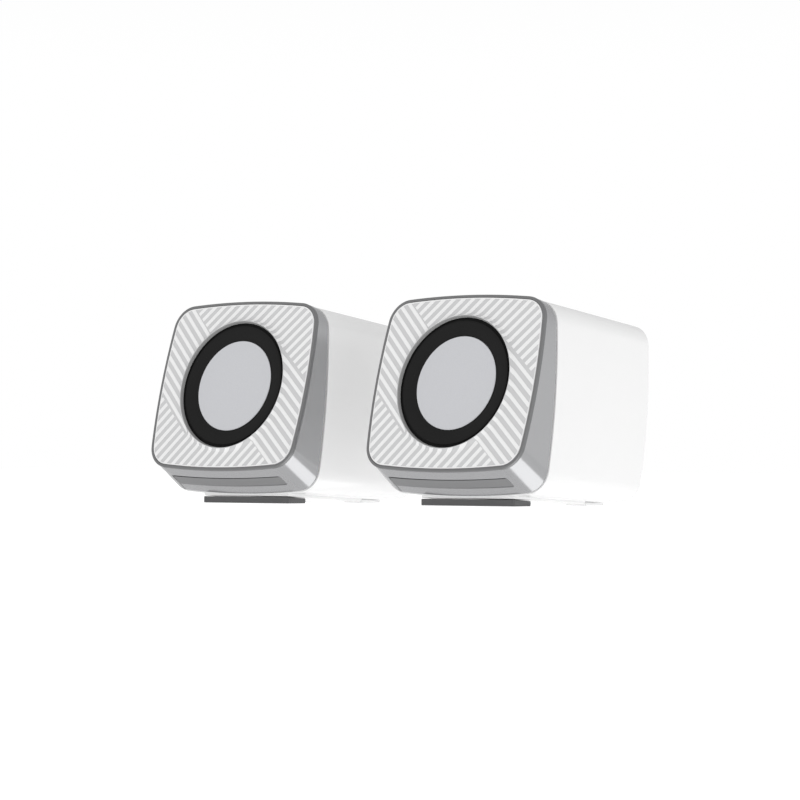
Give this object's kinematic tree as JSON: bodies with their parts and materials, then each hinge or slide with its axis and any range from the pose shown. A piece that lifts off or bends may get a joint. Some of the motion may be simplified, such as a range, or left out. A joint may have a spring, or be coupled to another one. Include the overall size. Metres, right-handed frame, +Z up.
{
  "type": "desktop speaker pair",
  "caption": "Pair of small cube-like desktop speakers with bowed white cabinets, grey wedge bezels, striped tilted faces and a round driver behind each opening.",
  "frame": {"origin": "on the desk, at the middle of the bounding box of the pair", "axes": "+X from the left speaker to the right one as seen by the listener, +Y to the back, +Z up"},
  "size_m": [0.2008, 0.096, 0.0845],
  "materials": {
    "white_shell": "gloss",
    "bezel_grey": "satin metallic grey",
    "rim_grey": "brushed dark",
    "panel_white": "striped white on light grey",
    "rubber_black": "matt",
    "silver_disc": "finely textured satin",
    "foot_grey": "matt",
    "foot_clear": "translucent matt",
    "steel": "plain",
    "zinc": "zinc plated",
    "ferrite": "sintered",
    "paper": "pulp",
    "copper": "enamelled wire",
    "spider_cloth": "resin cloth",
    "board_green": "solder mask",
    "black_plastic": "fine spark",
    "alloy": "extruded"
  },
  "bodies": {
    "right_speaker": {"right_amplifier_board": "board_green", "right_bezel": "bezel_grey", "right_cabinet": "white_shell", "right_capacitor_1": "black_plastic", "right_capacitor_2": "black_plastic", "right_driver_basket": "steel", "right_driver_screw_1": "zinc", "right_driver_screw_2": "zinc", "right_driver_screw_3": "zinc", "right_driver_screw_4": "zinc", "right_face_panel": "panel_white", "right_face_rim": "rim_grey", "right_front_foot_pad": "foot_grey", "right_heat_sink": "alloy", "right_line_in_socket": "black_plastic", "right_link_socket": "black_plastic", "right_magnet": "ferrite", "right_power_inlet": "zinc", "right_rear_foot_pad_left": "foot_clear", "right_rear_foot_pad_right": "foot_clear", "right_socket_plate": "black_plastic", "right_socket_plate_screw_1": "zinc", "right_socket_plate_screw_2": "zinc", "right_spider": "spider_cloth", "right_surround": "rubber_black", "right_top_plate": "zinc", "right_volume_pot": "zinc", "right_yoke": "zinc"},
    "right_diaphragm": {"right_cone": "paper", "right_cone_cap": "silver_disc", "right_voice_coil": "copper"},
    "volume_knob": {"right_volume_knob": "black_plastic", "right_volume_shaft": "zinc"},
    "left_speaker": {"left_bezel": "bezel_grey", "left_cabinet": "white_shell", "left_driver_basket": "steel", "left_driver_screw_1": "zinc", "left_driver_screw_2": "zinc", "left_driver_screw_3": "zinc", "left_driver_screw_4": "zinc", "left_face_panel": "panel_white", "left_face_rim": "rim_grey", "left_front_foot_pad": "foot_grey", "left_link_socket": "black_plastic", "left_magnet": "ferrite", "left_rear_foot_pad_left": "foot_clear", "left_rear_foot_pad_right": "foot_clear", "left_socket_plate": "black_plastic", "left_socket_plate_screw_1": "zinc", "left_socket_plate_screw_2": "zinc", "left_spider": "spider_cloth", "left_surround": "rubber_black", "left_top_plate": "zinc", "left_yoke": "zinc"},
    "left_diaphragm": {"left_cone": "paper", "left_cone_cap": "silver_disc", "left_voice_coil": "copper"}
  },
  "joints": [
    {"name": "right_diaphragm_stroke", "type": "slide", "parent": "right_speaker", "child": "right_diaphragm", "axis": [0, -0.9638, 0.2667], "range_m": [-0.0015, 0.0015], "stiffness_N_per_m": 1200, "deforming": ["right_surround", "right_spider"]},
    {"name": "volume_turn", "type": "hinge", "parent": "right_speaker", "child": "volume_knob", "pos_m": [0.0444, 0.04041, 0.03379], "axis": [0, 0.9956, -0.0941], "range_deg": [-150, 150]},
    {"name": "speaker_spread", "type": "slide", "parent": "right_speaker", "child": "left_speaker", "axis": [-1, 0, 0], "range_m": [0, 0.25]},
    {"name": "left_diaphragm_stroke", "type": "slide", "parent": "left_speaker", "child": "left_diaphragm", "axis": [0, -0.9638, 0.2667], "range_m": [-0.0015, 0.0015], "stiffness_N_per_m": 1200, "deforming": ["left_surround", "left_spider"]}
  ]
}
